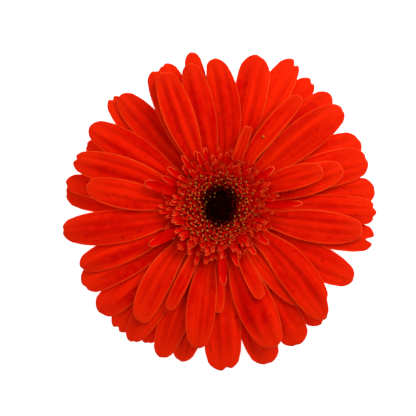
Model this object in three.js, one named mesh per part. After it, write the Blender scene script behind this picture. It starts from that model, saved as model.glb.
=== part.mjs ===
// One gerbera bloom: a flower head cut off just below its green cup, lying face up on the cut.
//
// Millimetres, +Z up. The bloom is built round the Z axis through its heart, and azimuths run
// anticlockwise from +X as seen from above. At the end the whole bloom is moved sideways so that
// the middle of its bounding box stands over the origin, with the cut face at z = 0.
//
// The petals (ray florets) grow from the rim of the receptacle and lie on each other like
// shingles. They are listed in the order in which they are laid, and each one takes the lowest
// layer that is above every petal it crosses.

import * as THREE from 'three';

// ---- Driving dimensions ------------------------------------------------------------------

const BLOOM_RADIUS = 55.6; // from the heart to the tip of the longest petal
const CLEARANCE = 0.3; // gap between neighbouring pieces

const STEM_RADIUS = 4.4; // at the cut
const STEM_LENGTH = 3; // from the cut to where the receptacle spreads
const RECEPTACLE_RADIUS = 11.8;
const BOWL_DEPTH = 6.6; // height of the receptacle's rounded underside

const PETAL_THICKNESS = 0.45;
const PETAL_EDGE_THINNING = 0.4; // share of the thickness lost at an edge
const PETAL_CROWN = 0.08; // fall of an edge below the midline, as a share of half the width
const CLAW_WIDTH = 2.4; // width of a petal where it leaves the rim
const PETAL_RISE = 1.8; // climb of a petal from the rim to its middle
const PETAL_DROOP = 3; // fall of the longest petals from their middle to their tip
const RISE_END = 0.5; // where the climb ends, as a share of the way from rim to tip

const BRACT_THICKNESS = 0.5;
const INNER_BRACTS = { count: 17, past: 5.8 }; // past: their tips beyond the receptacle's rim
const OUTER_BRACTS = { count: 15, past: 4.4 };

const FLORET_THICKNESS = 0.5;
// inset: how far their roots stand in from the receptacle's rim. whole and length: from the root
// to where the ring splits into florets, and to their tips.
const OUTER_FLORETS = { count: 30, inset: 0.9, whole: 3.1, length: 8.5 };
const INNER_FLORETS = { count: 24, inset: 2.2, whole: 2.6, length: 6.6 };
const FLORET_NOTCH = 0.6; // from where the ring splits to the end of a notch
const INNER_FLORET_LIFT = 1.5; // how far their tips stand above the lie of the outer florets
const FLORET_UNEVENNESS = 0.9; // how much neighbouring floret tips differ in length
const GOLDEN_ANGLE = 2.4; // radians

// Florets of the outer ring that have grown almost into small petals.
const LONG_FLORETS = [
  { azimuth: 4, length: 16.5 },
  { azimuth: 36, length: 11.9 },
  { azimuth: 145, length: 10.5 },
  { azimuth: 160, length: 14.6 },
  { azimuth: 208, length: 14.8 },
  { azimuth: 274, length: 14.4 },
];

const DISC_OVERHANG = 3.8; // how far the open disc florets lean out over the inner trans florets
const DISC_FLORET_HEIGHT = 3.4; // their tips above the inner trans florets' roots
const DISC_FLORETS = 20; // tips round the ring
const DISC_FLORET_DEPTH = 0.35; // dip between two tips
const DISC_ROUNDING = 0.7; // of the ring's upper edges
const HEART_RADIUS = 5.4;
const HEART_RISE = 1.1; // crown of the unopened heart above its edge
const HEART_DEPTH = 2.1; // its edge below the tips of the disc florets

// ---- Petals, from the back of the bloom to its front -------------------------------------
// root and tip: azimuths in degrees where the petal leaves the rim and where it ends.
// short: how far it ends short of the bloom's radius. width: its greatest width. blunt: its tip
// is broad and round.

const BACK_PETALS = [
  { root: 90, tip: 93, short: 11, width: 8 },
  { root: 242, tip: 241.5, short: 4.4, width: 9 },
  { root: 110, tip: 110.3, short: 4.3, width: 10 },
  { root: 155, tip: 154, short: 6.9, width: 9 },
  { root: 312, tip: 312.5, short: 3.6, width: 10.5, blunt: true },
  { root: 230, tip: 230, short: 2.8, width: 10, blunt: true },
  { root: 56, tip: 54.3, short: 2.6, width: 10 },
  { root: 29, tip: 25, short: 3.2, width: 11, blunt: true },
  { root: 7, tip: 6.5, short: 2.9, width: 10.5, blunt: true },
  { root: 346, tip: 348.5, short: 2.5, width: 10.5, blunt: true },
  { root: 286, tip: 288, short: 0.8, width: 11.5, blunt: true },
  { root: 257, tip: 256.5, short: 3.1, width: 10.5 },
  { root: 177, tip: 174, short: 4.6, width: 10, blunt: true },
  { root: 137, tip: 134.5, short: 4.3, width: 9.5 },
  { root: 100, tip: 99.7, short: 3, width: 7.5 },
  { root: 66, tip: 63, short: 0, width: 11 },
];

const LOWER_PETALS = [
  { root: 0, tip: 358.5, short: 2.9, width: 10, blunt: true },
  { root: 331, tip: 332, short: 4.7, width: 11.5 },
  { root: 301, tip: 301, short: 2.8, width: 11.5, blunt: true },
  { root: 272, tip: 272, short: 1.6, width: 12.5, blunt: true },
  { root: 248, tip: 249, short: 2.5, width: 10 },
  { root: 222, tip: 221, short: 3.3, width: 10.5, blunt: true },
  { root: 211, tip: 209.5, short: 4.3, width: 10.5, blunt: true },
  { root: 170, tip: 170.3, short: 4.4, width: 8.5 },
  { root: 129, tip: 131, short: 6, width: 10.5 },
  { root: 117, tip: 115.5, short: 5.6, width: 9 },
  { root: 72, tip: 75.5, short: 3.3, width: 11.2, blunt: true },
  { root: 47, tip: 45.5, short: 2.7, width: 10.4 },
  { root: 21, tip: 18, short: 3.4, width: 12, blunt: true },
];

const UPPER_PETALS = [
  { root: 236, tip: 236.5, short: 2.8, width: 9.5 },
  { root: 203, tip: 203, short: 6.4, width: 9.5 },
  { root: 192, tip: 188.5, short: 4, width: 11.5 },
  { root: 145, tip: 147.5, short: 5.4, width: 10.8 },
  { root: 158, tip: 161.5, short: 5.4, width: 10.5 },
  { root: 309, tip: 311.5, short: 13.6, width: 8 },
  { root: 81, tip: 91.3, short: 6.3, width: 10.3 },
  { root: 98, tip: 101.3, short: 7.3, width: 9 },
  { root: 41, tip: 38.7, short: 3.1, width: 11.7 },
  { root: 17, tip: 17.5, short: 12.4, width: 10 },
  { root: 325, tip: 314.5, short: 5.2, width: 12.4 },
  { root: 270, tip: 270, short: 21, width: 4.5 },
];

const FRONT_PETALS = [
  { root: 348, tip: 351, short: 7.3, width: 11 },
  { root: 289.5, tip: 292, short: 6.1, width: 12.5 },
  { root: 259, tip: 261.5, short: 9.2, width: 9.8 },
  { root: 226, tip: 235, short: 10.3, width: 9.8 },
  { root: 173, tip: 170.5, short: 12.3, width: 9.5 },
  { root: 114, tip: 112, short: 7.8, width: 10.2 },
  { root: 58.5, tip: 53.7, short: 10, width: 6.5 },
  { root: 24, tip: 20, short: 19.2, width: 8 },
  { root: 244, tip: 244, short: 18.6, width: 4.5 },
  { root: 296, tip: 295.5, short: 22.9, width: 4.8 },
  { root: 69, tip: 69.5, short: 27, width: 3.6 },
];

// Outline of a petal: at each share of its length, the share of the extra width beyond the claw.
const PETAL_STATIONS = [0, 0.12, 0.28, 0.44, 0.6, 0.76, 0.89, 0.97, 1];
const POINTED_OUTLINE = [0, 0.26, 0.62, 0.9, 1, 0.93, 0.7, 0.38, 0.08];
const BLUNT_OUTLINE = [0, 0.26, 0.62, 0.9, 1, 0.99, 0.86, 0.54, 0.14];
const PETAL_LINES = [-1, -0.35, 0.35, 1]; // places across a petal, from edge to edge
const LEAN_START = 7; // a petal starts to lean this far out from the rim
const SIDE_GAP = 0.4; // petals of one layer are at least this far apart

// ---- Materials ---------------------------------------------------------------------------

const finish = (color, roughness) => new THREE.MeshStandardMaterial({ color, roughness, metalness: 0 });
const petalSkin = finish(0xe32a00, 0.55);
const floretSkin = finish(0xc41a08, 0.6);
const discSkin = finish(0x8a1204, 0.7);
const heartSkin = finish(0x1c0402, 0.8);
const bractSkin = finish(0x5f7a34, 0.7);
const stemSkin = finish(0x86a050, 0.6);

// ---- Helpers -----------------------------------------------------------------------------

const radians = THREE.MathUtils.degToRad;

function polar(radius, azimuth, z) {
  return new THREE.Vector3(radius * Math.cos(azimuth), radius * Math.sin(azimuth), z);
}

// Joins loops of points into one closed body: loop to loop, and either round to the first loop
// again or with a flat cap on each end.
function loft(loops, round) {
  const size = loops[0].length;
  const index = [];
  const joins = round ? loops.length : loops.length - 1;
  for (let i = 0; i < joins; i += 1) {
    const here = i * size;
    const next = ((i + 1) % loops.length) * size;
    for (let j = 0; j < size; j += 1) {
      const k = (j + 1) % size;
      index.push(here + j, next + j, next + k);
      index.push(here + j, next + k, here + k);
    }
  }
  if (!round) {
    const last = (loops.length - 1) * size;
    for (let j = 1; j < size / 2; j += 1) {
      // The two sides of a loop mirror each other, so a cap is a strip between them.
      const [a, b] = [j - 1, j];
      const [c, d] = [size - 1 - j, size - j];
      index.push(a, b, c, a, c, d);
      index.push(last + a, last + c, last + b, last + a, last + d, last + c);
    }
  }
  const corners = loops.flat().flatMap((point) => point.toArray());
  const body = new THREE.BufferGeometry();
  body.setAttribute('position', new THREE.Float32BufferAttribute(corners, 3));
  body.setIndex(index);
  body.computeVertexNormals();
  return body;
}

function turned(profile, segments) {
  const points = profile.map(([radius, z]) => new THREE.Vector2(radius, z));
  return new THREE.LatheGeometry(points, segments).rotateX(Math.PI / 2);
}

const bloom = new THREE.Group();

function add(name, geometry, material) {
  const piece = new THREE.Mesh(geometry, material);
  piece.name = name;
  bloom.add(piece);
}

// ---- How the petals lie ------------------------------------------------------------------

const ROOT_RADIUS = RECEPTACLE_RADIUS + CLEARANCE; // where every petal starts
const RIM_HEIGHT = STEM_LENGTH + BOWL_DEPTH; // where the receptacle's side turns upright
const petals = [
  ...BACK_PETALS.map((petal, i) => ({ ...petal, name: numbered('back_petal', i) })),
  ...LOWER_PETALS.map((petal, i) => ({ ...petal, name: numbered('lower_petal', i) })),
  ...UPPER_PETALS.map((petal, i) => ({ ...petal, name: numbered('upper_petal', i) })),
  ...FRONT_PETALS.map((petal, i) => ({ ...petal, name: numbered('front_petal', i) })),
];
const WIDEST_PETAL = Math.max(...petals.map((petal) => petal.width));

function numbered(name, i) {
  return `${name}_${String(i + 1).padStart(2, '0')}`;
}

function reach(petal) {
  return BLOOM_RADIUS - petal.short;
}

// 0 at the rim to 1 where the petals' climb ends.
function climb(radius) {
  const share = (radius - ROOT_RADIUS) / (BLOOM_RADIUS - ROOT_RADIUS) / RISE_END;
  return Math.sin((Math.PI / 2) * THREE.MathUtils.clamp(share, 0, 1));
}

// Height from one layer to the next: a petal, a gap, and room for the crown of the widest petal.
function layerStep(radius) {
  const halfWidth = THREE.MathUtils.lerp(CLAW_WIDTH / 2, WIDEST_PETAL / 2, climb(radius));
  return PETAL_THICKNESS + CLEARANCE + PETAL_CROWN * halfWidth;
}

// Middle height of a layer. Layer 0 is the lowest petals' one; bracts use the layers below it.
function layerHeight(layer, radius) {
  const share = (radius - ROOT_RADIUS) / (BLOOM_RADIUS - ROOT_RADIUS);
  const past = Math.max(0, (share - RISE_END) / (1 - RISE_END));
  return RIM_HEIGHT + PETAL_RISE * climb(radius) - PETAL_DROOP * past ** 2 + (layer + 1) * layerStep(radius);
}

function petalAzimuth(petal, radius) {
  const start = ROOT_RADIUS + LEAN_START;
  const lean = THREE.MathUtils.clamp((radius - start) / (reach(petal) - start), 0, 1);
  // The short way round from root to tip, so that a petal may cross azimuth 0.
  const turn = ((petal.tip - petal.root + 540) % 360) - 180;
  return radians(petal.root + turn * lean);
}

function petalHalfWidth(petal, radius) {
  const share = (radius - ROOT_RADIUS) / (reach(petal) - ROOT_RADIUS);
  const outline = petal.blunt ? BLUNT_OUTLINE : POINTED_OUTLINE;
  const i = Math.max(1, PETAL_STATIONS.findIndex((station) => station >= share));
  const [from, to] = PETAL_STATIONS.slice(i - 1, i + 1);
  const spread = THREE.MathUtils.mapLinear(share, from, to, outline[i - 1], outline[i]);
  return (CLAW_WIDTH + (petal.width - CLAW_WIDTH) * spread) / 2;
}

function petalsCross(a, b) {
  const end = Math.min(reach(a), reach(b));
  for (let radius = ROOT_RADIUS; radius < end + SIDE_GAP; radius += 1) {
    const at = Math.min(radius, end);
    const apart = petalAzimuth(a, at) - petalAzimuth(b, at);
    const between = Math.abs(Math.atan2(Math.sin(apart), Math.cos(apart)));
    if (between * at < petalHalfWidth(a, at) + petalHalfWidth(b, at) + SIDE_GAP) {
      return true;
    }
  }
  return false;
}

petals.forEach((petal, i) => {
  const below = petals.slice(0, i).filter((other) => petalsCross(petal, other));
  petal.layer = 1 + Math.max(-1, ...below.map((other) => other.layer));
});
const LAYERS = 1 + Math.max(...petals.map((petal) => petal.layer));
const RECEPTACLE_TOP = layerHeight(LAYERS - 1, ROOT_RADIUS) + PETAL_THICKNESS / 2;

// ---- Petals ------------------------------------------------------------------------------

function petalBody(petal) {
  const loops = PETAL_STATIONS.map((share) => {
    const radius = THREE.MathUtils.lerp(ROOT_RADIUS, reach(petal), share);
    const half = petalHalfWidth(petal, radius);
    const face = PETAL_LINES.map((line) => {
      const azimuth = petalAzimuth(petal, radius) + (line * half) / radius;
      const middle = layerHeight(petal.layer, radius) - PETAL_CROWN * half * line ** 2;
      const thickness = PETAL_THICKNESS * (1 - PETAL_EDGE_THINNING * line ** 2);
      return { azimuth, middle, thickness };
    });
    const top = face.map((p) => polar(radius, p.azimuth, p.middle + p.thickness / 2));
    const underside = face.map((p) => polar(radius, p.azimuth, p.middle - p.thickness / 2));
    return [...top, ...underside.reverse()];
  });
  return loft(loops, false);
}

petals.forEach((petal) => add(petal.name, petalBody(petal), petalSkin));

// ---- Receptacle and cut stem -------------------------------------------------------------

const BOWL_STEPS = 5;

// The receptacle's underside, a funnel that rounds from the stem (0) to the upright rim (1), and
// the same line moved out and down.
function bowl(share, outward) {
  return [
    STEM_RADIUS + (RECEPTACLE_RADIUS - STEM_RADIUS) * Math.sin((share * Math.PI) / 2) + outward,
    STEM_LENGTH + BOWL_DEPTH * share - outward,
  ];
}

function receptacleBody() {
  const underside = Array.from({ length: BOWL_STEPS + 1 }, (_, i) => bowl(i / BOWL_STEPS, 0));
  const shoulder = RECEPTACLE_RADIUS - PETAL_THICKNESS;
  const profile = [
    [0, 0],
    [STEM_RADIUS, 0],
    ...underside,
    [RECEPTACLE_RADIUS, RECEPTACLE_TOP - PETAL_THICKNESS],
    [shoulder, RECEPTACLE_TOP],
    [0, RECEPTACLE_TOP],
  ];
  return turned(profile, 24);
}

add('receptacle_and_cut_stem', receptacleBody(), stemSkin);

// ---- Toothed rings: bracts and trans florets ---------------------------------------------

// A ring whose outer part is split into pointed teeth. line(share) gives the middle of its wall
// from the root (0) to the longest tooth's tip (1). The ring is whole as far as whole, the notch
// between two teeth ends at notch, and reaches holds how far each tooth goes.
function toothedRing({ line, whole, notch, reaches, thickness, wholeSteps, toothSteps }) {
  const middle = (share) => new THREE.Vector2(...line(share));
  const loops = [];
  reaches.forEach((tip, tooth) => {
    [notch, tip].forEach((end, half) => {
      const azimuth = ((tooth + half / 2) * 2 * Math.PI) / reaches.length;
      const [upper, lower] = [[], []];
      for (let i = 0; i <= wholeSteps + toothSteps; i += 1) {
        const onTooth = Math.max(0, i - wholeSteps) / toothSteps;
        const share = (whole * Math.min(i, wholeSteps)) / wholeSteps + (end - whole) * onTooth;
        const along = middle(share + 0.01).sub(middle(share - 0.01)).normalize();
        const across = new THREE.Vector2(-along.y, along.x).multiplyScalar(thickness / 2);
        const [above, under] = [middle(share).add(across), middle(share).sub(across)];
        upper.push(polar(above.x, azimuth, above.y));
        lower.push(polar(under.x, azimuth, under.y));
      }
      loops.push([...lower, ...upper.reverse()]);
    });
  });
  return loft(loops, true);
}

const BRACT_ON_BOWL = 0.6; // share of a bract that lies on the bowl
const BRACT_NOTCH = 0.68; // share of a bract at which the notch beside it ends
const BRACT_START = 0.12; // where on the bowl the bracts start and where they leave it
const BRACT_END = 0.92;

// Bracts hug the bowl as far as the rim and then lie under the petals, as layers of their own.
function bractRing({ count, past }, row) {
  const outward = CLEARANCE + BRACT_THICKNESS / 2 + row * (BRACT_THICKNESS + CLEARANCE);
  const [leaving] = bowl(BRACT_END, outward);
  const sink = (BRACT_THICKNESS - PETAL_THICKNESS) * (row + 1);
  const line = (share) => {
    if (share < BRACT_ON_BOWL) {
      return bowl(THREE.MathUtils.mapLinear(share, 0, BRACT_ON_BOWL, BRACT_START, BRACT_END), outward);
    }
    const radius = THREE.MathUtils.mapLinear(share, BRACT_ON_BOWL, 1, leaving, RECEPTACLE_RADIUS + past);
    return [radius, layerHeight(-1 - row, radius) - sink];
  };
  return toothedRing({
    line,
    whole: BRACT_ON_BOWL,
    notch: BRACT_NOTCH,
    reaches: Array(count).fill(1),
    thickness: BRACT_THICKNESS,
    wholeSteps: 4,
    toothSteps: 2,
  });
}

add('outer_bracts', bractRing(OUTER_BRACTS, 1), bractSkin);
add('inner_bracts', bractRing(INNER_BRACTS, 0), bractSkin);

// Trans florets stand on the receptacle and lie on the topmost petals as a further layer, and
// the inner ones on the outer. A floret is thicker than a petal, so its layer lies higher.
const FLORET_EXTRA = FLORET_THICKNESS - PETAL_THICKNESS;
const INNER_ROOT_RADIUS = RECEPTACLE_RADIUS - INNER_FLORETS.inset;

function outerFloretHeight(radius) {
  return layerHeight(LAYERS, radius) + FLORET_EXTRA;
}

function innerFloretHeight(radius) {
  const share = (radius - INNER_ROOT_RADIUS) / INNER_FLORETS.length;
  return layerHeight(LAYERS + 1, radius) + 2 * FLORET_EXTRA + INNER_FLORET_LIFT * share ** 2;
}

function floretLengths({ count, length }, long) {
  return Array.from({ length: count }, (_, i) => {
    const azimuth = ((i + 0.5) * 360) / count;
    const near = long.find((floret) => Math.abs(floret.azimuth - azimuth) <= 180 / count);
    return near ? near.length : length + FLORET_UNEVENNESS * Math.sin(GOLDEN_ANGLE * i);
  });
}

function floretRing(florets, long, height) {
  const lengths = floretLengths(florets, long);
  const longest = Math.max(...lengths);
  const root = RECEPTACLE_RADIUS - florets.inset;
  const line = (share) => [root + longest * share, height(root + longest * share)];
  return toothedRing({
    line,
    whole: florets.whole / longest,
    notch: (florets.whole + FLORET_NOTCH) / longest,
    reaches: lengths.map((length) => length / longest),
    thickness: FLORET_THICKNESS,
    wholeSteps: 2,
    toothSteps: 2,
  });
}

add('outer_trans_florets', floretRing(OUTER_FLORETS, LONG_FLORETS, outerFloretHeight), floretSkin);
add('inner_trans_florets', floretRing(INNER_FLORETS, [], innerFloretHeight), floretSkin);

// ---- Open disc florets and the heart -----------------------------------------------------

const DISC_BASE = RECEPTACLE_TOP + CLEARANCE;
const DISC_NECK_RADIUS = INNER_ROOT_RADIUS - CLEARANCE - FLORET_THICKNESS;
const DISC_NECK_HEIGHT = innerFloretHeight(INNER_ROOT_RADIUS) + FLORET_THICKNESS / 2 + CLEARANCE;
const DISC_RADIUS = DISC_NECK_RADIUS + DISC_OVERHANG;
const DISC_TIP_HEIGHT = DISC_NECK_HEIGHT + DISC_FLORET_HEIGHT;
const DISC_BORE_RADIUS = HEART_RADIUS + CLEARANCE;

function discBody() {
  const brim = innerFloretHeight(DISC_RADIUS) + FLORET_THICKNESS + CLEARANCE;
  const section = [
    [DISC_BORE_RADIUS, DISC_BASE],
    [DISC_NECK_RADIUS, DISC_BASE],
    [DISC_NECK_RADIUS, DISC_NECK_HEIGHT],
    [DISC_RADIUS, brim],
    [DISC_RADIUS - DISC_ROUNDING, DISC_TIP_HEIGHT - DISC_ROUNDING / 2],
    [THREE.MathUtils.lerp(DISC_BORE_RADIUS, DISC_RADIUS, 0.5), DISC_TIP_HEIGHT],
    [DISC_BORE_RADIUS + DISC_ROUNDING, DISC_TIP_HEIGHT - DISC_ROUNDING],
    [DISC_BORE_RADIUS, DISC_TIP_HEIGHT - HEART_DEPTH],
  ];
  const topPoints = [4, 5, 6];
  const loops = Array.from({ length: 2 * DISC_FLORETS }, (_, i) => {
    const azimuth = (i * Math.PI) / DISC_FLORETS;
    const dip = i % 2 ? DISC_FLORET_DEPTH : 0;
    return section.map(([radius, z], j) => polar(radius, azimuth, topPoints.includes(j) ? z - dip : z));
  });
  return loft(loops, true);
}

function heartBody() {
  const edge = DISC_TIP_HEIGHT - HEART_DEPTH;
  const dome = [1, 0.75, 0.45, 0].map((share) => [
    HEART_RADIUS * share,
    edge + HEART_RISE * (1 - share ** 2),
  ]);
  return turned([[0, DISC_BASE], [HEART_RADIUS, DISC_BASE], ...dome], 20);
}

add('open_disc_florets', discBody(), discSkin);
add('heart', heartBody(), heartSkin);

// ---- The bloom in its own frame ----------------------------------------------------------

const centre = new THREE.Box3().setFromObject(bloom).getCenter(new THREE.Vector3());
bloom.position.set(-centre.x, -centre.y, 0);

export default bloom;
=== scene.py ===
"""Looks of one gerbera bloom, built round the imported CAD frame.

Lengths are millimetres, measured from the bloom's own axis through its heart, and become metres in
the frame's axes only where a mesh is made. Only the floor and the lamps are given in metres.
Azimuths are degrees and turns are radians, both anticlockwise from +X as seen from above. Every
petal takes its place, length, width and height from its CAD node, and the florets and bracts take
theirs from the CAD rings.
"""

import math

import bpy
import numpy as np
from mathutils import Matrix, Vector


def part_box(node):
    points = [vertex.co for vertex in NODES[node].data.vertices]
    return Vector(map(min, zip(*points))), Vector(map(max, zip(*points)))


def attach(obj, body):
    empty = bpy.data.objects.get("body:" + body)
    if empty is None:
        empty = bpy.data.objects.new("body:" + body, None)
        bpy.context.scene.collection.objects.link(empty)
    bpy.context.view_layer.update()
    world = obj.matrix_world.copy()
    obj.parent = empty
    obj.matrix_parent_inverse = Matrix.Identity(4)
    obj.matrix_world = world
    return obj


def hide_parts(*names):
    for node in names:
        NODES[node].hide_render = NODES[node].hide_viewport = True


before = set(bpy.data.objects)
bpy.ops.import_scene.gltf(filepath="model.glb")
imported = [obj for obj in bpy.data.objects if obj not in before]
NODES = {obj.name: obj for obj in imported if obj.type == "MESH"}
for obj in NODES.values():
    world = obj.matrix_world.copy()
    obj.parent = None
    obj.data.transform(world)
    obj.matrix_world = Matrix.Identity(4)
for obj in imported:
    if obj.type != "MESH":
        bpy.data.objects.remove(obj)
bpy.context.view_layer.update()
MM = 0.001
RANDOM = np.random.default_rng(41)

low, high = (np.array(corner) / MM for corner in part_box("heart"))
AXIS = np.array([(low[0] + high[0]) / 2, (low[1] + high[1]) / 2, 0.0])
HEART_TOP = high[2]


# ---- Camera -------------------------------------------------------------------------------

CAMERA_LENS = 85.0
SENSOR_WIDTH = 36.0
VIEW_WIDTH = 138.7  # of the picture, at the height of the petals
PETAL_PLANE = 10.5
LOOK_AT = (-3.33, 0.0)  # beside the heart


def add_camera():
    data = bpy.data.cameras.new("camera")
    data.lens = CAMERA_LENS
    data.sensor_width = SENSOR_WIDTH
    camera = bpy.data.objects.new("camera", data)
    bpy.context.scene.collection.objects.link(camera)
    height = PETAL_PLANE + VIEW_WIDTH * CAMERA_LENS / SENSOR_WIDTH
    camera.location = (np.array([LOOK_AT[0], LOOK_AT[1], height]) + AXIS) * MM
    bpy.context.scene.camera = camera


add_camera()


# ---- Reading the CAD nodes ------------------------------------------------------------------

STATION_GAP = 0.2  # two cross-sections of a CAD petal are farther apart than this
RING_BINS = 12


def node_points(name):
    """A node's corners in millimetres from the bloom's axis."""
    mesh = NODES[name].data
    corners = np.empty(len(mesh.vertices) * 3)
    mesh.vertices.foreach_get("co", corners)
    return corners.reshape(-1, 3) / MM - AXIS


def reach_of(points):
    """How far each point is from the bloom's axis."""
    return np.hypot(points[:, 0], points[:, 1])


def curve_through(places, values):
    """A smooth curve through the values at the given rising places."""
    slopes = np.gradient(values, places)

    def at(place):
        i = np.clip(np.searchsorted(places, place) - 1, 0, len(places) - 2)
        step = places[i + 1] - places[i]
        t = np.clip((place - places[i]) / step, 0, 1)
        start = (2 * t**3 - 3 * t**2 + 1) * values[i] + (t**3 - 2 * t**2 + t) * step * slopes[i]
        end = (3 * t**2 - 2 * t**3) * values[i + 1] + (t**3 - t**2) * step * slopes[i + 1]
        return start + end

    return at


def petal_lines(name):
    """A CAD petal's root and tip radius, and its turn, half width and height by radius."""
    points = node_points(name)
    radius = reach_of(points)
    order = np.argsort(radius)
    stations = np.split(order, np.where(np.diff(radius[order]) > STATION_GAP)[0] + 1)
    middle = np.angle(np.sum(points[:, 0] + 1j * points[:, 1]))
    rows = []
    for station in stations:
        spot = points[station]
        aside = np.angle((spot[:, 0] + 1j * spot[:, 1]) * np.exp(-1j * middle))
        far = radius[station].mean()
        turn = middle + (aside.max() + aside.min()) / 2
        rows.append((far, turn, (aside.max() - aside.min()) / 2 * far, spot[:, 2].max()))
    far, turn, half, height = np.array(rows).T
    return {
        "root": far[0],
        "tip": far[-1],
        "turn": curve_through(far, turn),
        "half": curve_through(far, half),
        "height": curve_through(far, height),
    }


def ring_top(name):
    """A CAD ring's inner radius, and its upper height by radius."""
    points = node_points(name)
    radius = reach_of(points)
    bins = np.linspace(radius.min(), radius.max(), RING_BINS)
    places, heights = [], []
    for start, end in zip(bins, bins[1:]):
        inside = points[(radius >= start - 1e-6) & (radius <= end + 1e-6)]
        if len(inside):
            places.append((start + end) / 2)
            heights.append(inside[:, 2].max())
    return radius.min(), lambda far: np.interp(far, places, heights)


# ---- Mesh helpers ---------------------------------------------------------------------------

TURNED_SIDES = 96
TUBE_SIDE = (0.31, 0.95, 0.12)  # a direction that no tube runs in

# The dark hollow round the heart is a little oval and lies off the axis.
DARK_CENTRE = np.array([0.5, 0.8])
DARK_STRETCH = np.array([0.95, 1.08])


def polar(radius, turn, height):
    return np.stack([radius * np.cos(turn), radius * np.sin(turn), height], axis=-1)


def frame_at(azimuth):
    """Outward, left and up at an azimuth."""
    turn = math.radians(azimuth)
    outward = np.array([math.cos(turn), math.sin(turn), 0.0])
    return outward, np.array([-outward[1], outward[0], 0.0]), np.array([0.0, 0.0, 1.0])


def smoothstep(start, end, value):
    t = np.clip((value - start) / (end - start), 0, 1)
    return t * t * (3 - 2 * t)


def grid_uv(across, along):
    """UV places of a sheet's grid: across runs from -1 to 1 and along from 0 to 1."""
    flat = np.ones_like(across * along)
    return np.stack([(across + 1) / 2 * flat, along * flat], axis=-1)


def grid_faces(rows, columns):
    """Quads of a grid of points, wound anticlockwise for rows going out and columns going left."""
    a = (np.arange(rows - 1)[:, None] * columns + np.arange(columns - 1)[None]).ravel()
    return np.stack([a, a + columns, a + columns + 1, a + 1], axis=1)


def ring_uv(rings, sides):
    share = np.repeat(np.linspace(0, 1, rings), sides)
    return np.stack([np.tile(np.arange(sides) / sides, rings), share], axis=1)


def ring_faces(rings, sides):
    """Quads between closed rings of points, one ring after the other."""
    faces = []
    for near in range(0, (rings - 1) * sides, sides):
        far = near + sides
        for j in range(sides):
            k = (j + 1) % sides
            faces.append((near + j, near + k, far + k, far + j))
    return faces


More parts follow.
